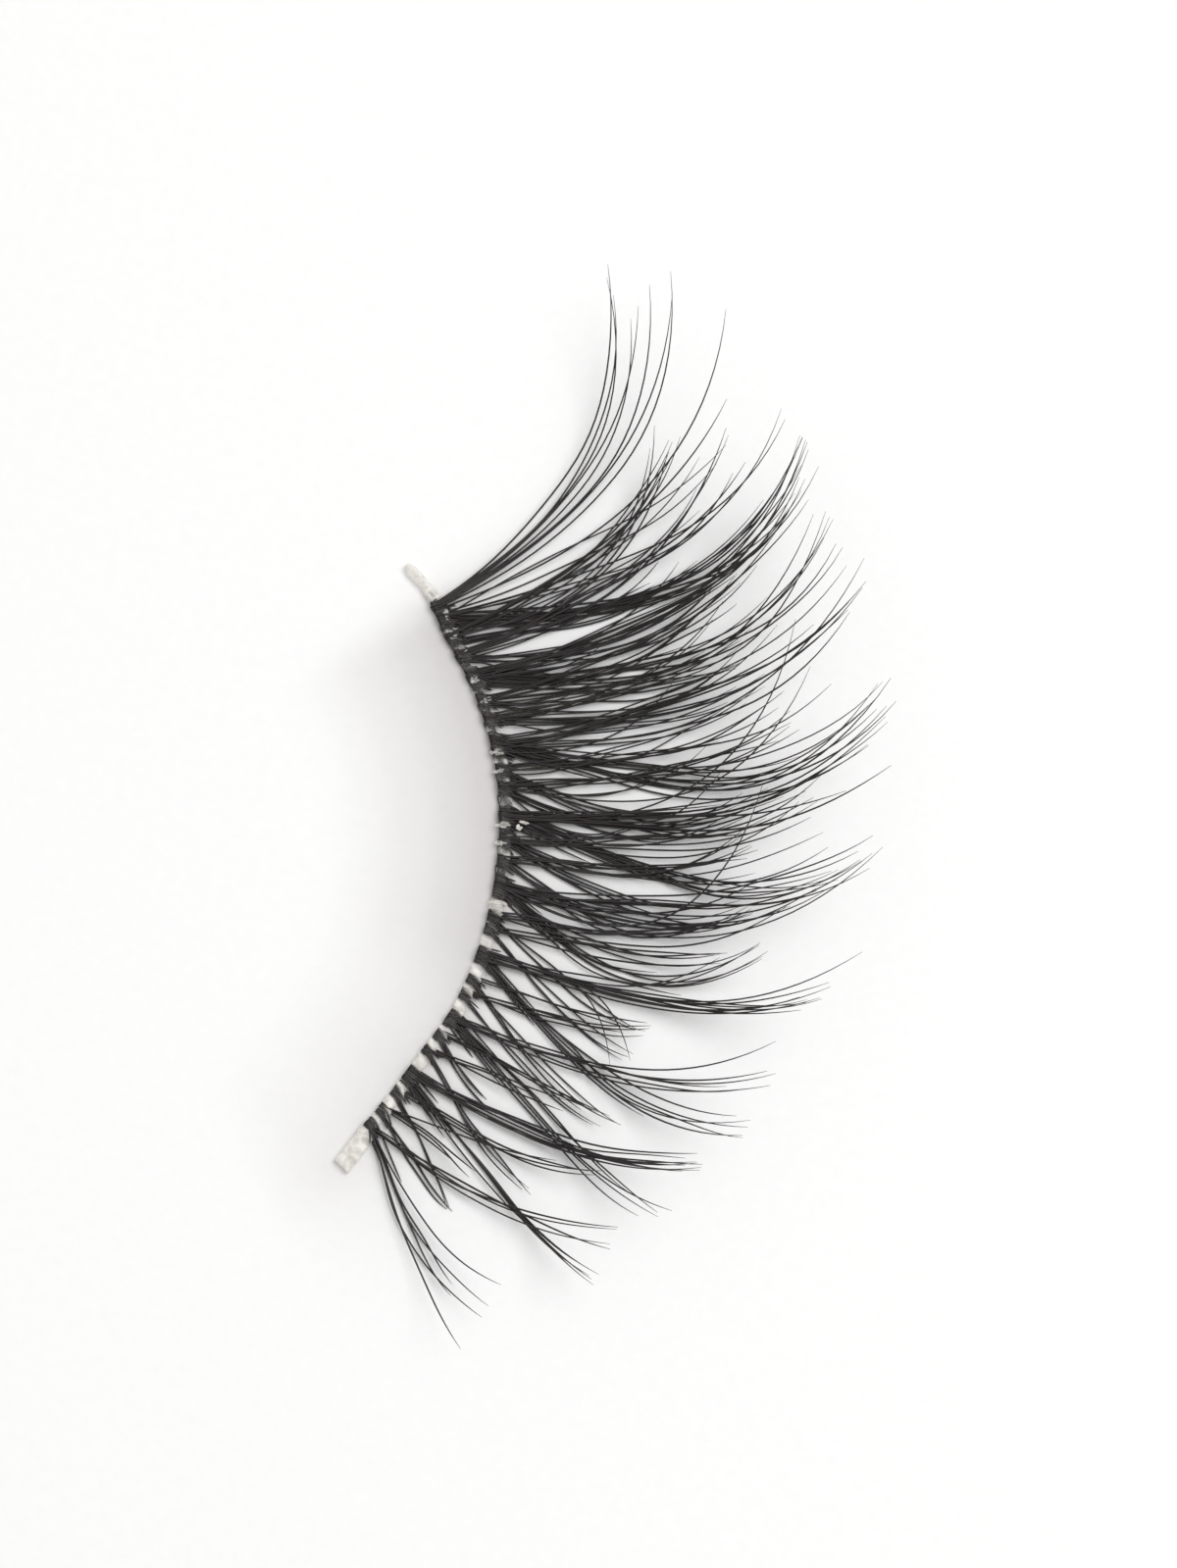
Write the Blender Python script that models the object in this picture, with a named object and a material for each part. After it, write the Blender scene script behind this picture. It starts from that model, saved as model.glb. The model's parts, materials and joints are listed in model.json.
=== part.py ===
"""False eyelash strip: a clear curved band with knotted lash locks seated along its outer edge.

Frame: +Z up, the strip lies on its flat underside. +Y runs along the band towards the outer corner of
the eye, +X away from the eyelid towards the lashes. The origin is the middle of the strip's bounding
box, at the height that it rests on. All lengths are in metres, all angles in degrees.

The band is an unbroken clear rail with teeth of glue on its outer side. A root knot sits in each notch
between two teeth. Every knot sends out two legs of lash: an inner leg that leans towards the inner
corner, in the lower layer, and an outer leg in the upper layer. The legs of neighbouring knots cross
as open diamonds, bend towards the outer corner, split into fingers and curl upwards.
"""

import math
from collections import namedtuple

import bmesh
import bpy
from mathutils import Vector

# Band
ARC_RADIUS = 0.0209
BAND_HEIGHT = 0.00046
BAND_EDGE = 0.00010
RAIL_WIDTH = 0.00044
GLUE_DEPTH = 0.00038
GLUE_TOOTH = 0.00026
NOTCH_DRAFT = 0.00002
INNER_END = 0.0021
OUTER_END = 0.0021
BAND_WAVE = 0.00065

# Knots, which repeat as one big and two small
CLUSTERS = 9
BIG_KNOT = 0.00105
SMALL_KNOT = 0.00055
KNOT_DEPTH = 0.00042
SEAT_CLEARANCE = 0.00004

# Lashes
LONGEST_LASH = 0.0194
LASH_THICKNESS = 0.00020
LAYER_GAP = 0.00006
LAYER_SPREAD = 0.00060
LEG_GAP = 0.00004
FINGER_WIDTH = 0.00008
FINGER_GAP = 0.00003
TIP_SPACING = 0.00022
CURL_HEIGHT = 0.0062
FLAT_SHARE = 0.36
SPLIT_SHARE = 0.38
TIP_THICKNESS = 0.00005
TIP_WIDTH = 0.00003

# How the bend grows along a lash, and how far a leg a whole row away from its big knot gathers to it
BEND_POWER = 1.3
GATHER_TURN = 12.0
LEG_RINGS = (0.34, 0.70)
FINGER_RINGS = (0.30, 0.58, 0.82)
PATH_STEPS = 96

# One row for each big knot, from the inner corner of the eye to the outer one. A lean is the root's angle
# from the arc's radius, positive towards the outer corner, a turn is how far the leg bends on its way,
# and a reach is its length as a share of LONGEST_LASH.
Legs = namedtuple("Legs", "inner_lean inner_turn inner_reach outer_lean outer_turn outer_reach")
LEG_ROWS = (
    Legs(-38, 36, 0.58, 3, 27, 0.65),
    Legs(-25, 22, 0.64, 4, 18, 0.73),
    Legs(-33, 37, 0.71, -8, 45, 0.79),
    Legs(-42, 57, 0.81, -4, 27, 0.88),
    Legs(-31, 36, 0.86, 3, 19, 0.89),
    Legs(-36, 56, 0.91, -4, 27, 0.93),
    Legs(-37, 44, 0.94, -5, 35, 0.95),
    Legs(-39, 60, 0.96, -6, 47, 1.00),
    Legs(-42, 74, 1.00, -8, 84, 0.99),
)

# Share along the band, and how far its inner edge stands off the true arc as a share of BAND_WAVE
Wave = namedtuple("Wave", "along offset")
WAVE_ROWS = (
    Wave(0.00, 0.10),
    Wave(0.07, -0.95),
    Wave(0.20, -0.93),
    Wave(0.30, -0.30),
    Wave(0.45, 0.08),
    Wave(0.65, 0.37),
    Wave(0.79, 0.10),
    Wave(0.87, -0.20),
    Wave(0.94, 0.00),
    Wave(1.00, -0.30),
)

# Share of the way from the knots to the end, and both edges of the band there as shares of its width
Tab = namedtuple("Tab", "out inner_edge outer_edge")
INNER_TAB = (
    Tab(0.10, 0.00, 0.92),
    Tab(0.40, -0.06, 1.06),
    Tab(0.80, -0.08, 1.06),
    Tab(1.00, -0.04, 1.02),
)
OUTER_TAB = (
    Tab(0.10, 0.06, 0.82),
    Tab(0.35, 0.12, 0.74),
    Tab(0.70, 0.10, 0.80),
    Tab(0.90, 0.16, 0.74),
    Tab(1.00, 0.32, 0.60),
)

# Reach of the small knots between two big ones, as a share of what the rows give there
SMALL_REACHES = (0.92, 0.84)

# Length of each finger of a leg, as a share of the leg's own
BIG_TIPS = (0.86, 0.95, 1.00, 0.97, 0.91, 0.83)
SMALL_TIPS = (0.92, 1.00, 0.88)

# Colours
BAND_COLOUR = (0.80, 0.77, 0.71, 0.55)
LASH_COLOUR = (0.022, 0.019, 0.018, 1.0)

BAND_WIDTH = RAIL_WIDTH + GLUE_DEPTH
KNOT_HEIGHT = 2 * LASH_THICKNESS + LAYER_GAP
NOTCH_SIDE = SEAT_CLEARANCE + NOTCH_DRAFT

Knot = namedtuple("Knot", "name at width reach row")


def clear_scene():
    for old in list(bpy.data.objects):
        bpy.data.objects.remove(old, do_unlink=True)


def material(name, colour, roughness, alpha=1.0):
    made = bpy.data.materials.new(name)
    made.use_nodes = True
    shader = made.node_tree.nodes["Principled BSDF"]
    shader.inputs["Base Color"].default_value = colour
    shader.inputs["Roughness"].default_value = roughness
    shader.inputs["Metallic"].default_value = 0.0
    shader.inputs["Alpha"].default_value = alpha
    return made


def mix(low, high, share):
    return low + (high - low) * share


def knot_list():
    """Every knot with its place along the band, measured from the band's middle, and its row share."""
    widths = []
    for cluster in range(CLUSTERS):
        widths.append((BIG_KNOT, 1.0, cluster))
        if cluster < CLUSTERS - 1:
            for small, reach in enumerate(SMALL_REACHES, start=1):
                widths.append((SMALL_KNOT, reach, cluster + small / (len(SMALL_REACHES) + 1)))
    places = [0.0]
    for (width, _, _), (following, _, _) in zip(widths, widths[1:]):
        places.append(places[-1] + (width + following) / 2 + GLUE_TOOTH + 2 * NOTCH_SIDE)
    middle = places[-1] / 2
    knots = []
    for number, (place, (width, reach, row)) in enumerate(zip(places, widths), start=1):
        knots.append(Knot(f"lash_lock_{number:02d}", place - middle, width, reach, row))
    return knots


KNOTS = knot_list()
KNOTTED_HALF = KNOTS[-1].at + BIG_KNOT / 2 + NOTCH_SIDE
BAND_START = -KNOTTED_HALF - INNER_END
BAND_LENGTH = 2 * KNOTTED_HALF + INNER_END + OUTER_END


def wave(along):
    """The band's offset from its arc: a smooth curve through the wave rows."""
    rows = WAVE_ROWS
    along = min(max(along, 0.0), 1.0)
    index = 0
    while index < len(rows) - 2 and along > rows[index + 1].along:
        index += 1

    def slope(at):
        before = rows[max(at - 1, 0)]
        after = rows[min(at + 1, len(rows) - 1)]
        return (after.offset - before.offset) / (after.along - before.along)

    low, high = rows[index], rows[index + 1]
    span = high.along - low.along
    t = (along - low.along) / span
    value = (2 * t**3 - 3 * t**2 + 1) * low.offset + (3 * t**2 - 2 * t**3) * high.offset
    value += (t**3 - 2 * t**2 + t) * span * slope(index) + (t**3 - t**2) * span * slope(index + 1)
    return value * BAND_WAVE


def band_edge(at):
    """A point of the band's inner edge, in plan, from the centre of its arc."""
    angle = at / ARC_RADIUS
    radius = ARC_RADIUS + wave((at - BAND_START) / BAND_LENGTH)
    return Vector((radius * math.cos(angle), radius * math.sin(angle)))


def band_frame(at):
    """The inner edge's point, its direction along the band and its outward normal."""
    step = NOTCH_DRAFT
    along = (band_edge(at + step) - band_edge(at - step)).normalized()
    return band_edge(at), along, Vector((along.y, -along.x))


def band_stations():
    """Places along the band, each with the offsets of its inner and outer edge."""
    stations = []
    for tab in reversed(INNER_TAB):
        stations.append((-KNOTTED_HALF - tab.out * INNER_END, tab.inner_edge, tab.outer_edge))
    notch_floor = RAIL_WIDTH / BAND_WIDTH
    for knot in KNOTS:
        half = knot.width / 2 + SEAT_CLEARANCE
        stations.append((knot.at - half - NOTCH_DRAFT, 0.0, 1.0))
        stations.append((knot.at - half, 0.0, notch_floor))
        stations.append((knot.at + half, 0.0, notch_floor))
        stations.append((knot.at + half + NOTCH_DRAFT, 0.0, 1.0))
    for tab in OUTER_TAB:
        stations.append((KNOTTED_HALF + tab.out * OUTER_END, tab.inner_edge, tab.outer_edge))
    return stations


def band_ring(at, inner_edge, outer_edge):
    """A cross-section of the band with both upper edges taken off."""
    point, _, normal = band_frame(at)
    low, high = inner_edge * BAND_WIDTH, outer_edge * BAND_WIDTH
    edge = min(BAND_EDGE, (high - low) / 4)
    profile = (
        (low, 0.0),
        (high, 0.0),
        (high, BAND_HEIGHT - edge),
        (high - edge, BAND_HEIGHT),
        (low + edge, BAND_HEIGHT),
        (low, BAND_HEIGHT - edge),
    )
    return [(*(point + normal * out), height) for out, height in profile]


def finish_mesh(bm, name, look, parent, sharp_angle=35.0):
    """Turn a bmesh into a named object with its normals out and its round faces smooth."""
    bmesh.ops.recalc_face_normals(bm, faces=bm.faces[:])
    mesh = bpy.data.meshes.new(name)
    bm.to_mesh(mesh)
    bm.free()
    mesh.shade_smooth()
    mesh.set_sharp_from_angle(angle=math.radians(sharp_angle))
    mesh.materials.append(look)
    made = bpy.data.objects.new(name, mesh)
    bpy.context.collection.objects.link(made)
    made.parent = parent
    return made


def make_band(look, parent):
    bm = bmesh.new()
    rings = [[bm.verts.new(corner) for corner in band_ring(*station)] for station in band_stations()]
    bm.faces.new(rings[0])
    bm.faces.new(rings[-1])
    for ring, following in zip(rings, rings[1:]):
        for index in range(len(ring)):
            beside = (index + 1) % len(ring)
            bm.faces.new((ring[index], ring[beside], following[beside], following[index]))
    return finish_mesh(bm, "clear_band", look, parent)


def row_value(row, column):
    """A column of the leg rows, read between two big knots."""
    low = min(int(row), CLUSTERS - 2)
    return mix(getattr(LEG_ROWS[low], column), getattr(LEG_ROWS[low + 1], column), row - low)


def fringe_depth(angle):
    """How deep the fringe is, in the direction of an angle at the arc's centre."""
    at = angle * ARC_RADIUS
    row = (at - KNOTS[0].at) / (KNOTS[-1].at - KNOTS[0].at) * (CLUSTERS - 1)
    row = min(max(row, 0.0), CLUSTERS - 1.0)
    reach = (row_value(row, "inner_reach") + row_value(row, "outer_reach")) / 2
    return reach * LONGEST_LASH


def curl_surface(point):
    """Height of the curl over a point of the plan: flat next to the band, then rising to the tips."""
    depth = fringe_depth(math.atan2(point.y, point.x))
    share = (point.length - ARC_RADIUS - BAND_WIDTH) / depth
    rise = max(0.0, (share - FLAT_SHARE) / (1.0 - FLAT_SHARE))
    curve = rise**2 if rise < 1.0 else 2.0 * rise - 1.0
    return CURL_HEIGHT * depth / LONGEST_LASH * curve


class Leg:
    """The middle line of one leg in plan, with its widths and its layer."""

    def __init__(self, root, heading, turn, length, root_width, fingers, upper):
        self.points = [root]
        self.headings = [heading]
        self.root_width = root_width
        self.fingers = fingers
        self.upper = upper
        for step in range(1, PATH_STEPS + 1):
            angle = heading + math.radians(turn) * ((step - 0.5) / PATH_STEPS) ** BEND_POWER
            ahead = Vector((math.cos(angle), math.sin(angle)))
            self.points.append(self.points[-1] + ahead * (length / PATH_STEPS))
            self.headings.append(heading + math.radians(turn) * (step / PATH_STEPS) ** BEND_POWER)

    def split_width(self):
        return self.fingers * FINGER_WIDTH + (self.fingers - 1) * FINGER_GAP

    def place(self, share):
        """Point and sideways direction, towards the outer corner, at a share of the length."""
        step = share * PATH_STEPS
        low = min(int(step), PATH_STEPS - 1)
        point = self.points[low].lerp(self.points[low + 1], step - low)
        angle = mix(self.headings[low], self.headings[low + 1], step - low)
        return point, Vector((-math.sin(angle), math.cos(angle)))

    def corner(self, share, sideways, top):
        """A corner of a cross-section, sideways off the middle line, on the curl's surface."""
        point, side = self.place(share)
        plan = point + side * sideways
        thickness = mix(LASH_THICKNESS, TIP_THICKNESS, share)
        height = curl_surface(plan)
        if self.upper:
            height += LASH_THICKNESS + LAYER_GAP + LAYER_SPREAD * share**2
        return Vector((*plan, height + top * thickness))

    def section(self, share, middle, half):
        """The four corners of a cross-section, in the order of a root face."""
        around = ((-1, 0), (1, 0), (1, 1), (-1, 1))
        return [self.corner(share, middle + side * half, top) for side, top in around]


def extrude_section(bm, face, corners, places):
    """Extrude a four-cornered face and move each new corner to its place."""
    end = bmesh.ops.extrude_discrete_faces(bm, faces=[face])["faces"][0]
    moved = [min(end.verts, key=lambda vert: (vert.co - corner.co).length) for corner in corners]
    for vert, place in zip(moved, places):
        vert.co = place
    return end, moved


def make_knot(bm, knot):
    """The knot's block, with the face of each leg's root open to be extruded."""
    point, along, normal = band_frame(knot.at)
    back = RAIL_WIDTH + SEAT_CLEARANCE
    front = back + KNOT_DEPTH
    half = knot.width / 2
    columns = (-half, -LEG_GAP / 2, LEG_GAP / 2, half)
    levels = (0.0, LASH_THICKNESS, LASH_THICKNESS + LAYER_GAP, KNOT_HEIGHT)

    def corner(out, sideways, height):
        return bm.verts.new((*(point + normal * out + along * sideways), height))

    grid = [[corner(front, column, level) for column in columns] for level in levels]
    rear = [[corner(back, column, level) for column in (-half, half)] for level in (0.0, KNOT_HEIGHT)]
    faces = {}
    for row in range(3):
        for column in range(3):
            low, high = grid[row], grid[row + 1]
            quad = (low[column], low[column + 1], high[column + 1], high[column])
            faces[row, column] = (bm.faces.new(quad), quad)
    bm.faces.new((rear[0][1], rear[0][0], rear[1][0], rear[1][1]))
    bm.faces.new((*grid[0][::-1], rear[0][0], rear[0][1]))
    bm.faces.new((*grid[3], rear[1][1], rear[1][0]))
    bm.faces.new((*[line[0] for line in grid], rear[1][0], rear[0][0]))
    bm.faces.new((*[line[3] for line in grid[::-1]], rear[0][1], rear[1][1]))
    return faces[0, 0], faces[2, 2]


def open_fingers(bm, face, corners, leg):
    """Carry a leg on to its split, and give the faces that its fingers grow from."""
    inner_low, outer_low, outer_high, inner_high = corners
    bm.faces.remove(face)
    offsets = []
    start = -leg.split_width() / 2
    for _ in range(leg.fingers):
        offsets.extend((start, start + FINGER_WIDTH))
        start += FINGER_WIDTH + FINGER_GAP
    low = [bm.verts.new(leg.corner(SPLIT_SHARE, offset, 0)) for offset in offsets]
    high = [bm.verts.new(leg.corner(SPLIT_SHARE, offset, 1)) for offset in offsets]
    bm.faces.new((inner_low, outer_low, *reversed(low)))
    bm.faces.new((outer_high, inner_high, *high))
    bm.faces.new((inner_low, low[0], high[0], inner_high))
    bm.faces.new((outer_low, outer_high, high[-1], low[-1]))
    sections = []
    for index in range(2 * leg.fingers - 1):
        strip = [low[index], low[index + 1], high[index + 1], high[index]]
        sections.append((bm.faces.new(strip), strip))
    return sections[::2]


def grow_leg(bm, face, corners, leg, tips):
    """Extrude a leg from its root face, split it into fingers and draw each to a point."""
    for ring in LEG_RINGS:
        half = mix(leg.root_width, leg.split_width(), ring) / 2
        face, corners = extrude_section(bm, face, corners, leg.section(ring * SPLIT_SHARE, 0.0, half))
    for finger, (column, ends) in enumerate(open_fingers(bm, face, corners, leg)):
        order = finger - (leg.fingers - 1) / 2
        tip = tips[finger]
        for ring in FINGER_RINGS:
            middle = order * mix(FINGER_WIDTH + FINGER_GAP, TIP_SPACING, ring)
            half = mix(FINGER_WIDTH, TIP_WIDTH, ring) / 2
            share = mix(SPLIT_SHARE, tip, ring)
            column, ends = extrude_section(bm, column, ends, leg.section(share, middle, half))
        point = bmesh.ops.poke(bm, faces=[column])["verts"][0]
        point.co = leg.corner(tip, order * TIP_SPACING, 0.5)


def make_lock(knot, look, parent):
    """A root knot with its inner leg in the lower layer and its outer leg in the upper one."""
    bm = bmesh.new()
    roots = make_knot(bm, knot)
    facing = knot.at / ARC_RADIUS
    gather = (knot.row - round(knot.row)) * -GATHER_TURN
    tips = SMALL_TIPS if knot.row % 1 else BIG_TIPS
    for (face, corners), leg_name in zip(roots, ("inner", "outer")):
        root = face.calc_center_median().to_2d()
        lean = row_value(knot.row, f"{leg_name}_lean")
        turn = row_value(knot.row, f"{leg_name}_turn") * knot.reach**BEND_POWER + gather
        reach = row_value(knot.row, f"{leg_name}_reach") * knot.reach * LONGEST_LASH
        width = (knot.width - LEG_GAP) / 2
        upper = leg_name == "outer"
        leg = Leg(root, facing + math.radians(lean), turn, reach, width, len(tips), upper)
        grow_leg(bm, face, corners, leg, tips)
    return finish_mesh(bm, knot.name, look, parent)


def seat_origin(pieces, parent):
    """Move the strip so that its box's middle is at the origin, resting at height zero."""
    corners = [vert.co for piece in pieces for vert in piece.data.vertices]
    middle = [(min(c[axis] for c in corners) + max(c[axis] for c in corners)) / 2 for axis in (0, 1)]
    parent.location = (-middle[0], -middle[1], -min(c.z for c in corners))


def main():
    clear_scene()
    strip = bpy.data.objects.new("lash_strip", None)
    bpy.context.collection.objects.link(strip)
    clear_plastic = material("clear_plastic", BAND_COLOUR, 0.32, BAND_COLOUR[3])
    lash_fibre = material("lash_fibre", LASH_COLOUR, 0.42)
    pieces = [make_band(clear_plastic, strip)]
    for knot in KNOTS:
        pieces.append(make_lock(knot, lash_fibre, strip))
    seat_origin(pieces, strip)


main()
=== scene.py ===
# %% [markdown]
# # A false eyelash strip
# This lesson dresses a imported CAD model of a false eyelash strip. The real thing is a curved clear band
# about 32 mm long. Bundles of fine black fibre are knotted along it, cross each other as open diamonds,
# fan out into spikes and curl upwards. The CAD model already has the sizes, so everything here is worked
# out from the same few sizes.

# %% Load the imported model
import json
import math
import random
from collections import namedtuple

import bmesh
import bpy
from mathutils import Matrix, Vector, noise

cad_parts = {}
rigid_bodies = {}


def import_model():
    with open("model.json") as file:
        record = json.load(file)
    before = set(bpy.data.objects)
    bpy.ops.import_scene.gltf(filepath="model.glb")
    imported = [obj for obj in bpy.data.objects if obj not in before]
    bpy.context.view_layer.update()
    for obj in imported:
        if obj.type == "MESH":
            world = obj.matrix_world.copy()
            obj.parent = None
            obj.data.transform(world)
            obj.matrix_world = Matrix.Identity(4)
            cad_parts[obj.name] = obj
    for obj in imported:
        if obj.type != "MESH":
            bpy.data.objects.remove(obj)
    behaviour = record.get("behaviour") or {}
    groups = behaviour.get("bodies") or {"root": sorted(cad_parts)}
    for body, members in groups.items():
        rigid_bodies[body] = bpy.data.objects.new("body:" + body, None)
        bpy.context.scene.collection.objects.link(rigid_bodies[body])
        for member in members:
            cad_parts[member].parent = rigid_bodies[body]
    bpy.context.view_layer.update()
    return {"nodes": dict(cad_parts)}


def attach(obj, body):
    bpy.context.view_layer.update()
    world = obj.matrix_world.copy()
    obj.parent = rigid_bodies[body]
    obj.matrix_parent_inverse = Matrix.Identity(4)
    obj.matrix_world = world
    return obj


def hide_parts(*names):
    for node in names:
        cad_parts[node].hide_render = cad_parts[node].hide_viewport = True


for left_over in list(bpy.data.objects):
    bpy.data.objects.remove(left_over, do_unlink=True)

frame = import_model()
print("nodes in the frame:", len(frame["nodes"]))

# %% [markdown]
# ## The camera
# The strip was photographed lying on paper, from nearly straight above. A camera can be placed by hand,
# but it is easier to say what it looks at, from how far away and at which two angles, and to work out its
# place from those. The focal length then follows from the width that the picture has to take in.

# %% Place the camera
MM = 0.001
PICTURE_WIDTH_PX, PICTURE_HEIGHT_PX = 1200, 1599
PIXEL_SIZE = 0.0465 * MM
CAMERA_AZIMUTH = math.radians(5.8)
CAMERA_ELEVATION = math.radians(80.0)
CAMERA_DISTANCE = 320 * MM
SENSOR_SIZE = 36.0
LOOK_AT = Vector((-2.05 * MM, 1.60 * MM, 0.0))

flat_look = Vector((-math.sin(CAMERA_AZIMUTH), math.cos(CAMERA_AZIMUTH), 0.0))
look = flat_look * math.cos(CAMERA_ELEVATION) - Vector((0, 0, math.sin(CAMERA_ELEVATION)))
camera_data = bpy.data.cameras.new("camera")
camera_data.sensor_fit = "VERTICAL"
camera_data.sensor_height = SENSOR_SIZE
camera_data.lens = SENSOR_SIZE * CAMERA_DISTANCE / (PICTURE_HEIGHT_PX * PIXEL_SIZE)
camera_data.clip_start = 10 * MM
camera = bpy.data.objects.new("camera", camera_data)
camera.location = LOOK_AT - look * CAMERA_DISTANCE
camera.rotation_euler = look.to_track_quat("-Z", "Y").to_euler()
bpy.context.scene.collection.objects.link(camera)
bpy.context.scene.camera = camera
print(f"camera {camera_data.lens:.1f} mm, at", [round(value / MM, 1) for value in camera.location])

# %% [markdown]
# ## Sizes that the strip is made from
# Everything on the strip is measured along its band, from the band's middle, and outwards from the band's
# inner edge. The band is an arc that waves a little, with a knot of fibre at every few millimetres: one
# big knot, then two small ones. These are the CAD model's own sizes, so each new piece lands on its node.

# %% Name the band's sizes
ARC_RADIUS = 20.9 * MM
ARC_CENTRE = Vector((-27.04 * MM, -3.305 * MM))
BAND_HEIGHT = 0.46 * MM
BAND_WIDTH = 0.82 * MM
END_LENGTH = 2.1 * MM
BAND_WAVE = 0.65 * MM
CLUSTERS = 9
BIG_KNOT = 1.05 * MM
SMALL_KNOT = 0.55 * MM
KNOT_SPACE = 0.38 * MM
LEG_START = 0.36 * MM

Knot = namedtuple("Knot", "number at width row")


def knot_list():
    """Every knot with its place along the band, its width and its share of the way through the rows."""
    sizes = [(BIG_KNOT if step % 3 == 0 else SMALL_KNOT, step / 3) for step in range(3 * CLUSTERS - 2)]
    places = [0.0]
    for (width, _), (following, _) in zip(sizes, sizes[1:]):
        places.append(places[-1] + (width + following) / 2 + KNOT_SPACE)
    middle = places[-1] / 2
    return [
        Knot(number, place - middle, width, row)
        for number, (place, (width, row)) in enumerate(zip(places, sizes), start=1)
    ]


KNOTS = knot_list()
KNOTTED_HALF = KNOTS[-1].at + BIG_KNOT / 2 + 0.06 * MM
BAND_LENGTH = 2 * (KNOTTED_HALF + END_LENGTH)


def row_at(at):
    """How far through the rows a place along the band is: 0 at the first big knot and 8 at the last."""
    return (at / (2 * KNOTS[-1].at) + 0.5) * (CLUSTERS - 1)


print(f"{len(KNOTS)} knots on {BAND_LENGTH / MM:.2f} mm of band")

# %% [markdown]
# ## The line of the band
# A strip never lies in a perfect arc: it keeps a slight wave from its packing. A short table gives how far
# the band stands off the true arc at a few places, and a smooth curve through the table gives the rest.
# Every piece asks the same helpers for its place, so nothing can drift apart.

# %% Work out the band's edge and directions
WAVE = (
    (0.00, -0.45),
    (0.07, -0.95),
    (0.20, -0.93),
    (0.30, -0.30),
    (0.45, 0.08),
    (0.65, 0.37),
    (0.79, 0.10),
    (0.87, -0.20),
    (0.94, 0.00),
    (1.00, -0.30),
)


def smooth_value(rows, along):
    """A smooth curve through rows of (place, value)."""
    along = min(max(along, rows[0][0]), rows[-1][0])
    low = 0
    while low < len(rows) - 2 and along > rows[low + 1][0]:
        low += 1

    def slope(index):
        before, after = rows[max(index - 1, 0)], rows[min(index + 1, len(rows) - 1)]
        return (after[1] - before[1]) / (after[0] - before[0])

    span = rows[low + 1][0] - rows[low][0]
    t = (along - rows[low][0]) / span
    value = (2 * t**3 - 3 * t**2 + 1) * rows[low][1] + (3 * t**2 - 2 * t**3) * rows[low + 1][1]
    return value + span * ((t**3 - 2 * t**2 + t) * slope(low) + (t**3 - t**2) * slope(low + 1))


def edge_wave(at):
    """How far the band's inner edge stands off the true arc."""
    return BAND_WAVE * smooth_value(WAVE, at / BAND_LENGTH + 0.5)


def spot(at, out):
    """A place in plan, by its place along the band and its distance from the true arc."""
    angle = at / ARC_RADIUS
    return ARC_CENTRE + (ARC_RADIUS + out) * Vector((math.cos(angle), math.sin(angle)))


def band_frame(at):
    """The inner edge's point, its direction along the band and its outward normal."""
    step = 0.02 * MM
    before, edge, after = (spot(place, edge_wave(place)) for place in (at - step, at, at + step))
    along = (after - before).normalized()
    return edge, along, Vector((along.y, -along.x))


print("band's middle at", [round(value / MM, 2) for value in band_frame(0.0)[0]], "mm")

# %% [markdown]
# ## How high the lashes curl
# Seen from the side, a lash leaves the band flat and then sweeps upwards in a smooth curve. The longest
# lashes curl highest. The curl could be drawn for each lash, but then lashes that cross in the picture
# would float apart, so one curved surface over the whole strip gives the height of every fibre instead.

# %% Work out the curl
LONGEST_LASH = 19.4 * MM
CURL_HEIGHT = 6.2 * MM
FLAT_SHARE = 0.36
FRINGE_DEPTH = (
    (0, 0.615),
    (1, 0.685),
    (2, 0.750),
    (3, 0.845),
    (4, 0.875),
    (5, 0.920),
    (6, 0.945),
    (7, 0.980),
    (8, 0.995),
)


def fringe_depth(row):
    """How far the longest lashes of a row reach out."""
    return LONGEST_LASH * smooth_value(FRINGE_DEPTH, row)


def curl_height(plan):
    """Height of the curl over a point of the plan."""
    out = plan - ARC_CENTRE
    at = math.atan2(out.y, out.x) * ARC_RADIUS
    depth = fringe_depth(row_at(at))
    share = (out.length - ARC_RADIUS - BAND_WIDTH) / depth
    rise = max(0.0, (share - FLAT_SHARE) / (1.0 - FLAT_SHARE))
    return CURL_HEIGHT * depth / LONGEST_LASH * (rise**2 if rise < 1.0 else 2.0 * rise - 1.0)


for row in (0, 4, 8):
    at = KNOTS[3 * row].at
    rim = spot(at, BAND_WIDTH + fringe_depth(row))
    print(f"curl at the tips of big knot {row + 1}: {curl_height(rim) / MM:.1f} mm")

# %% [markdown]
# ## One fibre
# A lash fibre is a tapered thread about a tenth of a millimetre thick. Blender has hair curves, but a
# strip like this has less than a thousand fibres and each has to sit in its knot, so each one is a real
# tube. A fibre starts at its trimmed end inside the band and runs straight out through its knot. From there
# it follows a smooth curve through three places that can be read off a photograph: where it leaves the
# band, where it passes half way and where its tip is. Three things keep it from looking drawn with a ruler:
# its last part hooks towards the outer corner, it sways a little from side to side, and it strays from its
# neighbours, but only once it is clear of the knot. A raised tip hides a spot of paper that lies a little
# behind it, so each point is moved back towards the camera by as much as its height asks for.

# %% Draw one fibre's path
ROOT_STEPS = (0.0, 0.35, 0.7)
STEPS = 26
RINGS = len(ROOT_STEPS) + STEPS + 1
TRIMMED_END = 0.03 * MM
LOWEST = 0.06 * MM
HOOK_FROM = 0.55
TOGETHER_UNTIL = 0.09
APART_AT = 0.44
PAST_TIP = 1.05
EVEN_TAPER = 0.10
TIP_TAPER = 0.72
TIP_TAPER_POWER = 8

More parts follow.
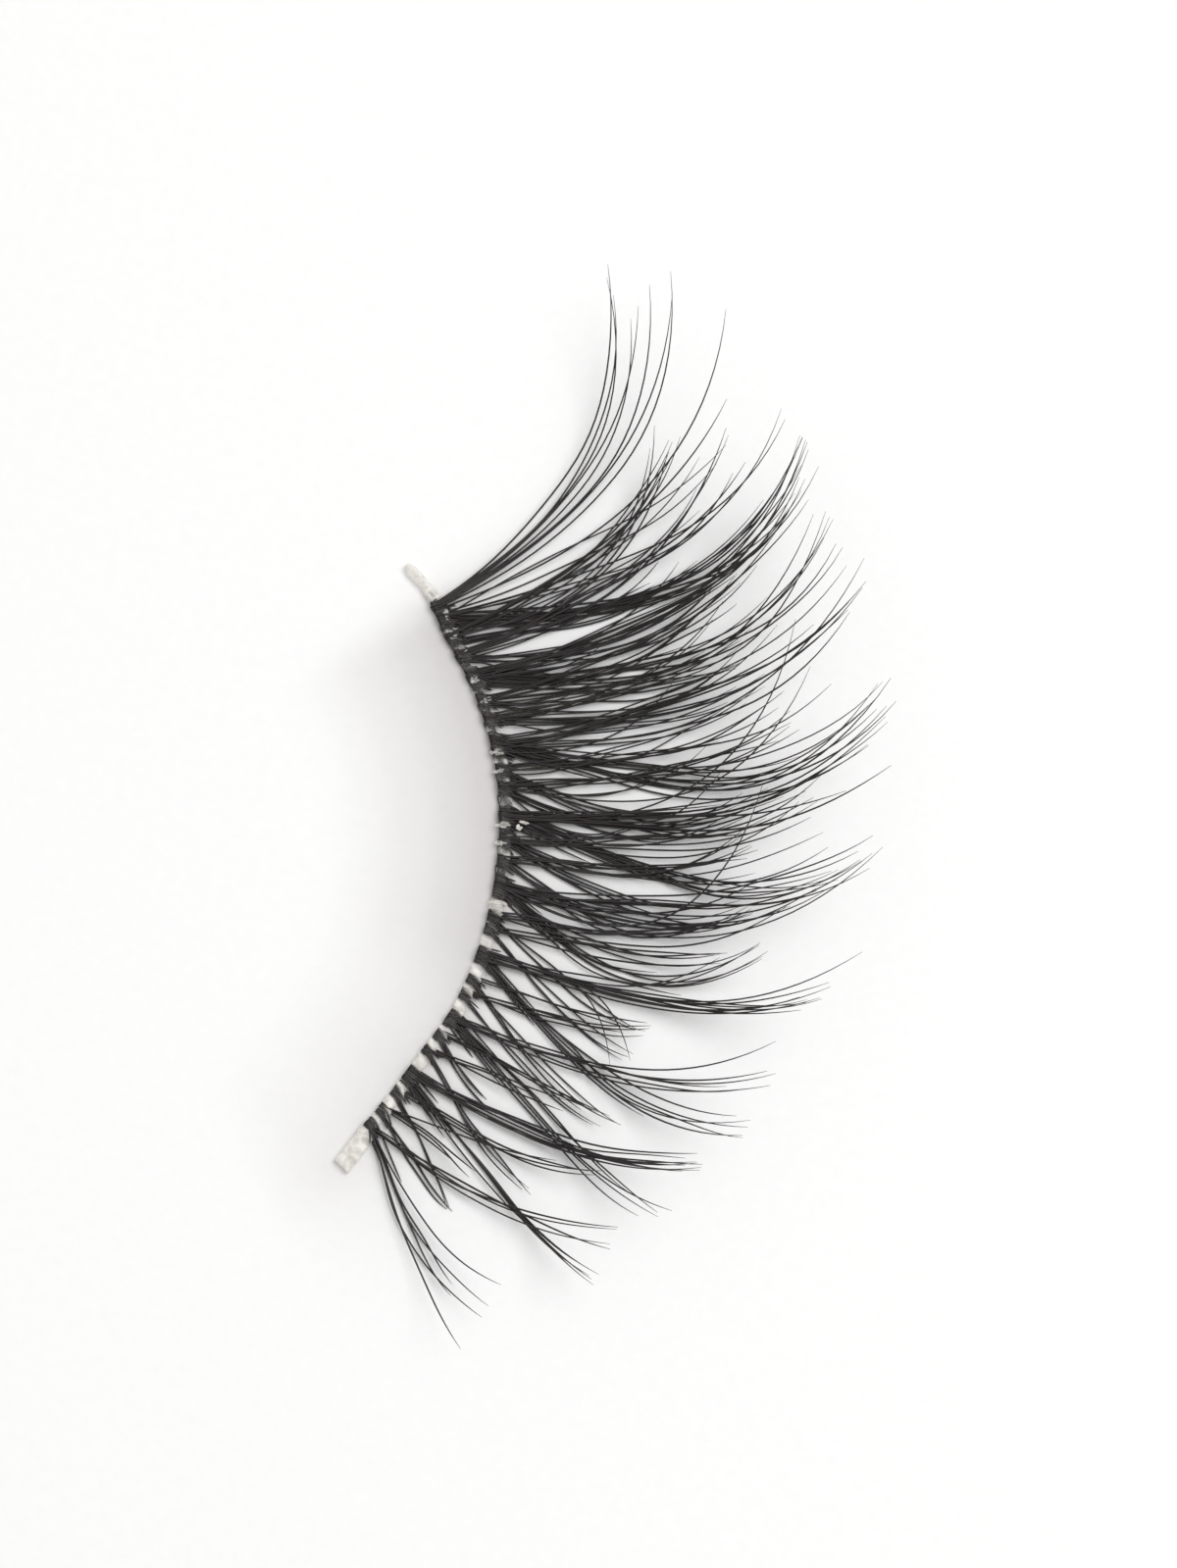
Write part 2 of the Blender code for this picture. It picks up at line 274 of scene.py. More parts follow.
# A shape has its places as (along the band, out from the arc), its offsets to the side at the knot, half
# way and at the tip, its sway as (size, half waves), its level at the knot, how much higher its tip lies
# (loft) and the share of the curve that it ends at.
Shape = namedtuple("Shape", "start bend tip offsets hook sway level loft thickness ends_at tone")
Strand = namedtuple("Strand", "points radii tone")


def raised_over(seen, lift):
    """The point of a fibre that hides a spot of the paper from the camera."""
    plan = seen
    for _ in range(3):
        height = lift + curl_height(plan)
        plan = seen + (camera.location.xy - seen) * (height / camera.location.z)
    return Vector((*plan, height))


def curve_through(start, bend, tip, share):
    """A point of the smooth curve from start to tip that passes through bend."""
    first, second = (bend - start).length, (tip - bend).length
    passing = first / (first + second)
    pull = (bend - start * (1 - passing) ** 2 - tip * passing**2) / (2 * passing * (1 - passing))
    return start * (1 - share) ** 2 + pull * 2 * share * (1 - share) + tip * share**2


def grow_strand(shape):
    """The path of one fibre from its trimmed end to its tip."""
    edge, _, normal = band_frame(shape.start + shape.offsets[0])
    points, radii = [], []
    for share in ROOT_STEPS:
        plan = edge + normal * (TRIMMED_END + (LEG_START - TRIMMED_END) * share)
        points.append(Vector((*plan, shape.level)))
        radii.append(shape.thickness / 2)
    start = Vector((shape.start, edge_wave(shape.start) + LEG_START))
    unhooked_tip = Vector(shape.tip) - Vector((shape.hook, 0))
    at_root, at_bend, at_tip = shape.offsets
    spread = ((0.0, at_root), (TOGETHER_UNTIL, at_root), (APART_AT, at_bend), (PAST_TIP, at_tip))
    for step in range(STEPS + 1):
        share = step / STEPS
        passed = share * shape.ends_at
        place = curve_through(start, Vector(shape.bend), unhooked_tip, passed)
        place.x += shape.hook * max(0.0, (passed - HOOK_FROM) / (1 - HOOK_FROM)) ** 2
        place.x += smooth_value(spread, passed)
        place.x += shape.sway[0] * math.sin(math.pi * shape.sway[1] * passed)
        lift = max(LOWEST, shape.level + shape.loft * share**2)
        points.append(raised_over(spot(place.x, place.y), lift))
        radii.append(shape.thickness / 2 * (1 - EVEN_TAPER * share - TIP_TAPER * share**TIP_TAPER_POWER))
    return Strand(points, radii, shape.tone)


print(f"a fibre has {RINGS} rings, of which {len(ROOT_STEPS)} lie in its knot")

# %% [markdown]
# ## From paths to a mesh
# A tube is a ring of corners carried along a path. All fibres of a lock go into one mesh, because a lock
# is one piece of the real strip. Two numbers are stored at every corner for the material to read: how far
# along the fibre it is, and a tone that differs from fibre to fibre.

# %% Skin the paths with tubes
FIBRE_SIDES = 6


def new_piece(name, mesh, look):
    """An object with one material, put into the scene."""
    mesh.materials.append(look)
    mesh.shade_smooth()
    piece = bpy.data.objects.new(name, mesh)
    bpy.context.scene.collection.objects.link(piece)
    return piece


def tube_mesh(name, strands, look):
    """One object made of a closed, tapered tube for every strand."""
    corners, faces, along_fibre, tones = [], [], [], []
    for strand in strands:
        first = len(corners)
        last_ring = len(strand.points) - 1
        for index, (point, radius) in enumerate(zip(strand.points, strand.radii)):
            before = strand.points[max(index - 1, 0)]
            after = strand.points[min(index + 1, last_ring)]
            ahead = (after - before).normalized()
            side = ahead.cross(Vector((0, 0, 1))).normalized()
            top = side.cross(ahead)
            for turn in range(FIBRE_SIDES):
                angle = 2 * math.pi * turn / FIBRE_SIDES
                corners.append(point + radius * (math.cos(angle) * side + math.sin(angle) * top))
                along_fibre.append(index / last_ring)
                tones.append(strand.tone)
            if index:
                low, high = first + (index - 1) * FIBRE_SIDES, first + index * FIBRE_SIDES
                for turn in range(FIBRE_SIDES):
                    beside = (turn + 1) % FIBRE_SIDES
                    faces.append((low + turn, low + beside, high + beside, high + turn))
        faces.append(tuple(first + turn for turn in reversed(range(FIBRE_SIDES))))
        faces.append(tuple(first + last_ring * FIBRE_SIDES + turn for turn in range(FIBRE_SIDES)))
    mesh = bpy.data.meshes.new(name)
    mesh.from_pydata(corners, [], faces)
    mesh.attributes.new("along_fibre", "FLOAT", "POINT").data.foreach_set("value", along_fibre)
    mesh.attributes.new("fibre_tone", "FLOAT", "POINT").data.foreach_set("value", tones)
    return new_piece(name, mesh, look)


print("triangles in one fibre:", 2 * FIBRE_SIDES * RINGS - 4)

# %% [markdown]
# ## The fibre's finish
# The fibre is a black synthetic thread with a soft sheen. Black things are never one flat black: some
# fibres are browner, some bluer, and the tips are drawn so thin that they look grey. The shader mixes two
# near-blacks by the fibre's own tone, and small changes of roughness break up the shine. Adding a node by
# hand takes a line for the node and a line for each of its settings, so a small helper takes them all in
# one call: first the values of its sockets, then its other settings.

# %% Make the fibre's material


def new_material(name, **values):
    """A node material, its shader with some values set, and short ways to add and link nodes."""
    made = bpy.data.materials.new(name)
    made.use_nodes = True
    nodes, links = made.node_tree.nodes, made.node_tree.links
    shader = nodes["Principled BSDF"]
    for socket, value in values.items():
        shader.inputs[socket].default_value = value

    def add(kind, sockets=(), **settings):
        node = nodes.new(kind)
        for key, value in settings.items():
            setattr(node, key, value)
        for socket, value in dict(sockets).items():
            node.inputs[socket].default_value = value
        return node

    return made, shader, add, links.new


def lash_fibre_look():
    """Near-black fibre with a soft sheen, greyer at its tip."""
    made, shader, add, link = new_material("lash_fibre", IOR=1.5)
    tone = add("ShaderNodeAttribute", attribute_name="fibre_tone")
    shades = add("ShaderNodeValToRGB")
    shades.color_ramp.elements[0].color = (0.016, 0.011, 0.008, 1)
    shades.color_ramp.elements[1].color = (0.020, 0.016, 0.021, 1)
    shades.color_ramp.elements.new(0.5).color = (0.013, 0.012, 0.009, 1)
    link(tone.outputs["Fac"], shades.inputs["Fac"])
    along = add("ShaderNodeAttribute", attribute_name="along_fibre")
    tip = add("ShaderNodeMapRange", {"From Min": 0.80, "From Max": 1.0, "To Max": 0.4})
    link(along.outputs["Fac"], tip.inputs["Value"])
    pale = add("ShaderNodeMix", data_type="RGBA")
    pale.inputs["B"].default_value = (0.07, 0.065, 0.065, 1)
    link(tip.outputs["Result"], pale.inputs["Factor"])
    link(shades.outputs["Color"], pale.inputs["A"])
    link(pale.outputs["Result"], shader.inputs["Base Color"])
    place = add("ShaderNodeTexCoord")
    grain = add("ShaderNodeTexNoise", {"Scale": 900.0})
    link(place.outputs["Object"], grain.inputs["Vector"])
    gloss = add("ShaderNodeMapRange", {"To Min": 0.34, "To Max": 0.52})
    link(grain.outputs["Fac"], gloss.inputs["Value"])
    link(gloss.outputs["Result"], shader.inputs["Roughness"])
    return made


LASH_FIBRE = lash_fibre_look()
print("nodes in the fibre's material:", len(LASH_FIBRE.node_tree.nodes))

# %% [markdown]
# ## The legs of each lock
# Each knot sends out two legs. The inner leg leans towards the inner corner of the eye and the outer leg
# stands nearly straight, so neighbours cross as open diamonds. Then both bend towards the outer corner.
# One row holds one leg: where it starts along the band, where it passes half way and where its tip lies
# (all in mm along the band and out from it), how many fibres it has, how wide it is half way and how
# widely its tips spread. The big knots give the long spikes and the small ones the softer filling.

# %% List the legs, from the inner corner to the outer one
Leg = namedtuple("Leg", "knot layer start bend_at bend_out tip_at tip_out fibres width fan")
LEGS = (
    Leg(1, "inner", -13.55, -15.20, 4.8, -15.5, 9.8, 4, 1.38, 2.38),
    Leg(1, "outer", -13.50, -12.75, 5.0, -11.4, 11.6, 4, 0.65, 1.50),
    Leg(2, "inner", -12.75, -13.40, 2.4, -13.9, 5.3, 3, 0.40, 0.38),
    Leg(2, "outer", -12.35, -12.20, 2.2, -12.3, 4.9, 3, 0.46, 0.75),
    Leg(3, "inner", -11.60, -12.55, 1.9, -13.6, 4.9, 3, 0.40, 0.50),
    Leg(3, "outer", -11.25, -10.85, 4.2, -9.6, 9.6, 3, 0.40, 0.62),
    Leg(4, "inner", -10.55, -11.75, 4.6, -12.3, 12.0, 6, 0.55, 0.75),
    Leg(4, "outer", -10.20, -9.65, 5.6, -7.9, 13.3, 10, 0.50, 0.95),
    Leg(5, "inner", -9.05, -10.40, 2.6, -11.5, 7.3, 3, 0.40, 0.50),
    Leg(5, "outer", -8.78, -8.50, 3.6, -8.1, 6.9, 3, 0.50, 0.60),
    Leg(6, "inner", -8.15, -9.15, 1.8, -9.6, 5.5, 4, 0.40, 0.38),
    Leg(6, "outer", -7.85, -7.87, 4.0, -7.8, 8.4, 3, 0.40, 0.75),
    Leg(7, "inner", -7.05, -8.70, 4.8, -9.5, 12.9, 5, 1.10, 0.75),
    Leg(7, "outer", -7.00, -6.70, 5.5, -4.9, 14.6, 5, 0.80, 1.12),
    Leg(8, "inner", -5.95, -7.50, 3.8, -8.2, 8.6, 2, 0.60, 0.60),
    Leg(8, "outer", -5.65, -5.30, 4.2, -4.6, 8.7, 4, 0.60, 0.75),
    Leg(9, "inner", -5.10, -6.75, 3.4, -7.8, 9.0, 3, 0.75, 0.70),
    Leg(9, "outer", -4.85, -4.90, 3.8, -4.6, 8.4, 2, 0.40, 0.60),
    Leg(10, "inner", -3.85, -5.95, 4.6, -6.5, 14.2, 6, 1.25, 1.10),
    Leg(10, "outer", -3.65, -3.70, 6.3, -2.4, 16.0, 9, 0.75, 1.10),
    Leg(11, "inner", -2.60, -4.20, 3.0, -5.6, 8.2, 3, 0.70, 1.00),
    Leg(11, "outer", -2.40, -2.40, 4.6, -1.9, 11.2, 3, 0.60, 1.00),
    Leg(12, "inner", -1.95, -3.30, 3.0, -4.6, 8.0, 2, 0.60, 1.00),
    Leg(12, "outer", -1.75, -1.60, 4.8, -0.6, 12.0, 4, 0.80, 1.25),
    Leg(13, "inner", -0.50, -2.40, 4.6, -1.2, 13.2, 8, 1.20, 1.80),
    Leg(13, "outer", -0.35, -0.80, 6.5, 1.6, 17.9, 10, 1.60, 1.10),
    Leg(14, "inner", 0.80, -0.95, 4.4, -0.5, 12.0, 5, 0.90, 1.08),
    Leg(14, "outer", 0.85, 0.85, 5.0, 1.4, 12.4, 5, 0.70, 1.20),
    Leg(15, "inner", 1.75, 0.10, 3.9, 0.1, 11.9, 5, 0.80, 0.96),
    Leg(15, "outer", 1.80, 1.65, 4.6, 3.0, 15.0, 5, 0.75, 1.20),
    Leg(16, "inner", 2.90, 1.30, 4.8, 1.6, 16.8, 9, 1.00, 1.50),
    Leg(16, "outer", 2.80, 2.30, 6.5, 2.3, 13.0, 3, 0.30, 0.20),
    Leg(16, "outer", 2.95, 2.65, 6.0, 4.2, 18.5, 9, 0.80, 1.80),
    Leg(17, "inner", 4.10, 2.75, 3.6, 2.8, 11.5, 5, 0.60, 0.96),
    Leg(17, "outer", 4.30, 4.20, 5.0, 5.2, 14.5, 5, 0.75, 1.20),
    Leg(18, "inner", 5.00, 3.25, 4.0, 3.0, 12.5, 5, 0.65, 1.08),
    Leg(18, "outer", 5.15, 4.95, 5.0, 6.1, 14.0, 5, 0.70, 1.32),
    Leg(19, "inner", 6.20, 4.45, 5.6, 5.5, 18.8, 10, 1.00, 1.40),
    Leg(19, "outer", 6.35, 6.15, 5.2, 8.6, 19.1, 11, 1.40, 1.60),
    Leg(20, "inner", 7.45, 6.75, 3.7, 6.6, 11.8, 5, 0.60, 1.08),
    Leg(20, "outer", 7.60, 7.30, 5.2, 8.1, 13.2, 5, 0.70, 1.20),
    Leg(21, "inner", 8.35, 7.70, 3.8, 7.5, 12.2, 5, 0.65, 1.08),
    Leg(21, "outer", 8.50, 8.35, 5.2, 9.5, 13.5, 5, 0.60, 1.20),
    Leg(22, "inner", 9.50, 8.05, 5.2, 10.1, 18.4, 10, 1.00, 1.92),
    Leg(22, "outer", 9.75, 9.25, 6.0, 11.8, 18.9, 11, 1.10, 1.40),
    Leg(23, "inner", 10.70, 9.30, 4.4, 9.7, 12.5, 5, 0.80, 0.96),
    Leg(23, "outer", 10.90, 10.80, 4.5, 12.8, 16.0, 5, 0.60, 1.44),
    Leg(24, "inner", 11.50, 10.70, 4.0, 10.6, 12.2, 5, 0.60, 0.80),
    Leg(24, "outer", 11.90, 12.00, 5.4, 14.0, 14.0, 5, 0.80, 1.20),
    Leg(25, "inner", 12.75, 10.70, 5.6, 11.9, 18.9, 12, 0.55, 1.10),
    Leg(25, "outer", 12.95, 11.60, 6.5, 13.2, 19.1, 3, 0.80, 1.60),
)
print("fibres in the legs:", sum(leg.fibres for leg in LEGS))

# %% [markdown]
# ## Growing the legs
# Near the band the fibres of a leg lie side by side, so the leg looks solid. Further out they cling
# together in tufts with slits of light between them, and towards the tips they cross and part. So each
# tuft gets its own hook and its own place at the tip, and each fibre strays from its tuft by a little. Most
# fibres reach the tip and a few are cut short. The inner legs lie in the lower layer and the outer legs in
# the upper one. The inner leg of a big knot also has short fibres that make its root broad and dark.

# %% Grow one leg
FIBRE_THICKNESS = 0.094 * MM
THICKNESS_RANGE = (0.86, 1.12)
BIG_KNOT_PITCH = 0.050 * MM
SMALL_KNOT_PITCH = 0.075 * MM
FIBRES_IN_TUFT = 3.2
SHORT_FIBRES = 0.22
SHORT_ENDS = (0.55, 0.92)
FULL_END = 1.04
END_STRAY = 0.10
END_CROWDING = 1.5
HOOK_SHARE = 0.034
HOOK_RANGE = (0.5, 1.5)
HOOK_STRAY = 0.3
SWAY_SHARE = 0.0065
HALF_WAVES = (1.5, 4.5)
LOFT_STRAY = 0.3 * MM
ROOT_STRAY = 0.02
ROOT_FIBRES_BY_ROW = (
    (0, 2.0),
    (2, 5.0),
    (3, 6.0),
    (4, 9.0),
    (6, 8.0),
    (7, 6.0),
    (8, 8.0),
)
ROOT_BREADTH = 0.85 * MM
ROOT_ENDS = (0.12, 0.30)
ROOT_GATHER = 0.1 * MM

Layer = namedtuple("Layer", "low high loft")
LAYERS = {
    "inner": Layer(0.06 * MM, 0.20 * MM, 0.15 * MM),
    "outer": Layer(0.26 * MM, 0.40 * MM, 0.75 * MM),
}
ANY_LEVEL = (LAYERS["inner"].low, LAYERS["outer"].high)

# How fibres share out a leg's width half way and at its tip: by their tuft, by their own place in the leg
# and by chance.
Spread = namedtuple("Spread", "by_tuft by_place by_chance")
AT_BEND = Spread(0.3, 0.3, 0.34)
AT_TIP = Spread(0.15, 0.3, 0.38)


def is_big(knot_number):
    """Every third knot, from the first one on, is a big one."""
    return knot_number % 3 == 1


def fibre_end(rng):
    """How far along its leg's curve a fibre ends."""
    if rng.random() < SHORT_FIBRES:
        return rng.uniform(*SHORT_ENDS)
    return FULL_END - END_STRAY * rng.random() ** END_CROWDING


def fibre_sway(length, rng):
    """How far a fibre waves to the side and how many half waves it makes."""
    return rng.uniform(-1, 1) * SWAY_SHARE * length, rng.uniform(*HALF_WAVES)


def leg_fibre(leg, offsets, hook, ends_at, rng):
    """One fibre that follows its leg's curve at a distance to the side."""
    layer = LAYERS[leg.layer]
    shape = Shape(
        start=leg.start * MM,
        bend=(leg.bend_at * MM, leg.bend_out * MM),
        tip=(leg.tip_at * MM, leg.tip_out * MM),
        offsets=offsets,
        hook=hook,
        sway=fibre_sway(leg.tip_out * MM, rng),
        level=rng.uniform(layer.low, layer.high),
        loft=layer.loft + rng.uniform(-LOFT_STRAY, LOFT_STRAY),
        thickness=FIBRE_THICKNESS * rng.uniform(*THICKNESS_RANGE),
        ends_at=ends_at,
        tone=rng.random(),
    )
    return grow_strand(shape)


def leg_strands(leg, rng):
    """The strands of one leg."""
    root_width = leg.fibres * (BIG_KNOT_PITCH if is_big(leg.knot) else SMALL_KNOT_PITCH)
    tufts = max(1, round(leg.fibres / FIBRES_IN_TUFT))
    tuft_tips = [rng.uniform(-1, 1) for _ in range(tufts)]
    tuft_hooks = [HOOK_SHARE * leg.tip_out * rng.uniform(*HOOK_RANGE) for _ in range(tufts)]
    strands = []
    for index in range(leg.fibres):
        place = (index + 0.5) / leg.fibres
        tuft = min(tufts - 1, int(place * tufts))
        middle = (tuft + 0.5) / tufts
        across = AT_BEND.by_tuft * (middle - 0.5) + AT_BEND.by_place * (place - 0.5)
        at_bend = across + rng.uniform(-AT_BEND.by_chance, AT_BEND.by_chance)
        across = AT_TIP.by_place * (place - 0.5) + AT_TIP.by_tuft * tuft_tips[tuft]
        at_tip = across + rng.uniform(-AT_TIP.by_chance, AT_TIP.by_chance)
        at_root = root_width * (place - 0.5) + rng.uniform(-ROOT_STRAY, ROOT_STRAY) * MM
        offsets = (at_root, leg.width * at_bend * MM, leg.fan * at_tip * MM)
        hook = (tuft_hooks[tuft] + rng.uniform(-HOOK_STRAY, HOOK_STRAY)) * MM
        strands.append(leg_fibre(leg, offsets, hook, fibre_end(rng), rng))
    return strands


def root_strands(leg, row, rng):
    """Short fibres that make the root of a big knot's inner leg broad and dark."""
    if leg.layer == "outer" or not is_big(leg.knot):
        return []
    strands = []
    for _ in range(round(smooth_value(ROOT_FIBRES_BY_ROW, row))):
        aside = rng.uniform(-0.5, 0.5) * ROOT_BREADTH
        offsets = (aside, aside - ROOT_GATHER, aside - ROOT_GATHER)
        strands.append(leg_fibre(leg, offsets, 0.0, rng.uniform(*ROOT_ENDS), rng))
    return strands


sample = leg_strands(LEGS[0], random.Random(1))
print("strands in the first leg:", len(sample), "- rings in each:", len(sample[0].points))

# %% [markdown]
# ## Single fibres
# The legs alone would leave the strip too tidy. The hairs that catch the eye in the photograph stand alone,
# above all the nine long ones at the outer corner, so they have a table of their own, read off in the same
# way as the legs. Between the legs stand more single fibres, and a few cross them near the band. Nobody
# could tell those one by one, so they are drawn by chance, more of them towards the outer corner.

# %% Add the single fibres
Hair = namedtuple("Hair", "knot start bend_at bend_out tip_at tip_out hook")
SINGLE_HAIRS = (
    Hair(1, -13.55, -15.80, 4.9, -16.7, 10.3, -0.1),
    Hair(1, -13.50, -14.75, 4.5, -14.4, 9.3, 0.3),
    Hair(2, -12.30, -11.40, 2.7, -10.0, 7.6, 0.2),
    Hair(7, -7.00, -6.45, 6.5, -3.8, 14.7, 0.6),
    Hair(10, -3.90, -3.85, 3.5, -6.2, 7.7, -2.2),
    Hair(10, -3.95, -3.85, 3.8, -5.8, 8.5, -2.0),
    Hair(10, -3.60, -3.50, 6.5, -1.8, 11.2, 0.7),
    Hair(10, -3.60, -3.60, 8.0, -1.0, 17.8, 0.4),
    Hair(12, -1.80, -2.00, 6.5, 0.0, 14.0, 0.5),
    Hair(13, -0.40, -0.95, 8.0, 3.6, 12.8, 1.0),
    Hair(16, 2.90, 3.50, 9.0, 8.1, 15.8, 0.7),
    Hair(17, 4.20, 3.40, 8.5, 6.7, 15.9, 0.8),
    Hair(19, 6.30, 4.90, 10.5, 6.1, 16.7, 0.3),
    Hair(23, 10.90, 11.20, 6.5, 13.9, 13.6, 0.3),
    Hair(24, 11.80, 11.50, 6.5, 14.3, 13.0, 0.1),
    Hair(24, 11.90, 11.30, 6.2, 14.8, 13.8, 0.2),
    Hair(24, 12.00, 12.60, 10.0, 14.3, 17.4, 0.2),
    Hair(25, 13.30, 13.05, 10.0, 16.2, 20.0, 0.2),
    Hair(25, 13.38, 13.95, 10.0, 17.8, 19.2, 0.5),
    Hair(25, 13.40, 14.25, 10.0, 17.3, 18.4, 0.3),
    Hair(25, 13.50, 14.35, 10.0, 17.9, 18.0, 0.6),
    Hair(25, 13.53, 14.85, 10.0, 17.7, 16.9, 0.2),
    Hair(25, 13.56, 14.60, 10.0, 17.6, 16.2, 0.7),
    Hair(25, 13.60, 15.10, 10.0, 18.4, 16.4, 0.4),
    Hair(25, 13.58, 14.95, 10.0, 18.9, 16.8, 0.9),
    Hair(25, 13.64, 15.40, 10.0, 19.1, 17.3, 0.5),
)
LOOSE_BY_ROW = ((0, 0.0), (3.4, 0.0), (4.3, 2.0), (5.0, 2.0), (7.0, 3.0), (8.0, 3.0))
CROSSING_BY_ROW = ((0, 0.0), (3.4, 0.0), (4.0, 0.6), (8.0, 0.6))
HAIR_SWAY = 0.4
HAIR_LOFT = 0.5 * MM
HAIR_THICKNESS = (0.9, 1.05)

# The other single fibres are drawn from ranges. Their start is given in widths of their knot, their
# thickness in thicknesses of a plain fibre, the reach of the loose ones in depths of the fringe and their
# bend as a share of that reach. The rest is in mm.
Ranges = namedtuple("Ranges", "lean turn hook loft")
AROUND_KNOT = (-0.4, 0.4)
LOOSE_THICKNESS = (0.80, 1.05)
LOOSE_REACH = (0.50, 0.93)
LOOSE_BEND = 0.32
LOOSE = Ranges(lean=(-1.2, 0.1), turn=(0.3, 1.7), hook=(0.1, 1.0), loft=(-0.2, 0.8))
CROSSING_BEND = (2.0, 3.0)
CROSSING_REACH = (4.5, 8.5)
CROSSING = Ranges(lean=(0.5, 1.5), turn=(-0.7, 0.3), hook=(0.0, 0.3), loft=(-0.1, 0.3))


def knot_middle(knot):
    """Where the fibres of a knot leave the band: it is a little off the middle of the knot."""
    starts = [leg.start * MM for leg in LEGS if leg.knot == knot.number]
    return (min(starts) + max(starts)) / 2


def lone_fibre(start, bend, tip, hook, sway, level, loft, thickness, rng):
    """One fibre that belongs to no leg."""
    shape = Shape(
        start=start,
        bend=bend,
        tip=tip,
        offsets=(0.0, 0.0, 0.0),
        hook=hook,
        sway=sway,
        level=level,
        loft=loft,
        thickness=FIBRE_THICKNESS * thickness,
        ends_at=1.0,
        tone=rng.random(),
    )
    return grow_strand(shape)


def single_hair(hair, rng):
    """One of the hairs that catch the eye."""
    return lone_fibre(
        start=hair.start * MM,
        bend=(hair.bend_at * MM, hair.bend_out * MM),
        tip=(hair.tip_at * MM, hair.tip_out * MM),
        hook=hair.hook * MM,
        sway=fibre_sway(HAIR_SWAY * hair.tip_out * MM, rng),
        level=LAYERS["outer"].high,
        loft=HAIR_LOFT,
        thickness=rng.uniform(*HAIR_THICKNESS),
        rng=rng,
    )


def loose_fibre(knot, rng):
    """A fibre that stands between the legs."""
    start = knot_middle(knot) + rng.uniform(*AROUND_KNOT) * knot.width
    reach = fringe_depth(knot.row) * rng.uniform(*LOOSE_REACH)
    bend = start + rng.uniform(*LOOSE.lean) * MM
    return lone_fibre(
        start=start,
        bend=(bend, LOOSE_BEND * reach),
        tip=(bend + rng.uniform(*LOOSE.turn) * MM, reach),
        hook=rng.uniform(*LOOSE.hook) * MM,
        sway=fibre_sway(reach, rng),
        level=rng.uniform(*ANY_LEVEL),
        loft=rng.uniform(*LOOSE.loft) * MM,
        thickness=rng.uniform(*LOOSE_THICKNESS),
        rng=rng,
    )


def crossing_fibre(knot, rng):
    """A shorter fibre that leans to the inner side and crosses the legs near the band."""
    start = knot_middle(knot) + rng.uniform(*AROUND_KNOT) * knot.width
    bend = start - rng.uniform(*CROSSING.lean) * MM
    return lone_fibre(
        start=start,
        bend=(bend, rng.uniform(*CROSSING_BEND) * MM),
        tip=(bend + rng.uniform(*CROSSING.turn) * MM, rng.uniform(*CROSSING_REACH) * MM),
        hook=rng.uniform(*CROSSING.hook) * MM,
        sway=(0.0, 0.0),
        level=rng.uniform(*ANY_LEVEL),
        loft=rng.uniform(*CROSSING.loft) * MM,
        thickness=rng.uniform(*LOOSE_THICKNESS),
        rng=rng,
    )


print("hairs that catch the eye:", len(SINGLE_HAIRS))

# %% [markdown]
# ## What lies on the band
# At the band each knot is a short dark block, because the trimmed ends of its fibres, the stubs, lie packed
# across the band. Towards the outer corner a few ends also lie along the band, from one knot to the next,
# and give it a crisp dark inner edge. Both are fibres like the others, only short, so they are made in the
# same way.

# %% Add the stubs and the ends along the band
STUBS_BY_ROW = ((0, 0.5), (3.0, 0.75), (4.0, 1.1), (8.0, 1.0))
STUB_WIDTH_BY_ROW = ((0, 0.70), (3, 0.80), (4, 1.10), (8, 1.10))
STUB_MARGIN_BY_ROW = ((0, 0.0), (3, 0.0), (4, 0.10), (8, 0.10))
STUB_LEAN = (-0.5, 0.05)
STUB_LENGTH = (0.60, 1.15)
STUB_BEND = (0.35, 0.4)
STUB_THICKNESS = (0.85, 1.05)
SHORTEST_STUB = LEG_START + 0.1 * MM
TAILS_FROM_ROW = 3.8
TAILS = 4
TAIL_START = (0.1, 0.4)
TAIL_LENGTH = (1.0, 1.7)
TAIL_LEVEL = (0.12, 0.36)
TAIL_THICKNESS = (0.85, 1.0)
TAIL_LIMIT = KNOTTED_HALF + 0.5 * MM
FIRST_TAIL_OUT = 0.05
TAIL_PITCH = 0.12
TAIL_WAVE = 0.04 * MM
TAIL_BENDS = 5
TAIL_SHIFT = 2


def stub_strands(knot, rng):
    """Short ends that lie side by side across the band and make the knot a dark block."""
    width = knot.width * smooth_value(STUB_WIDTH_BY_ROW, knot.row)
    width += smooth_value(STUB_MARGIN_BY_ROW, knot.row) * MM
    count = round(width / BIG_KNOT_PITCH * smooth_value(STUBS_BY_ROW, knot.row))
    strands = []
    for index in range(count):
        start = knot_middle(knot) + width * ((index + 0.5) / count - 0.5)
        lean = rng.uniform(*STUB_LEAN) * MM
        length = rng.uniform(*STUB_LENGTH) * MM
        bend_out = LEG_START + STUB_BEND[1] * (length - LEG_START)
        stub = lone_fibre(
            start=start,
            bend=(start + STUB_BEND[0] * lean, edge_wave(start) + bend_out),
            tip=(start + lean, edge_wave(start) + max(length, SHORTEST_STUB)),
            hook=0.0,
            sway=(0.0, 0.0),
            level=rng.uniform(*ANY_LEVEL),
            loft=0.0,
            thickness=rng.uniform(*STUB_THICKNESS),
            rng=rng,
        )
        strands.append(stub)
    return strands


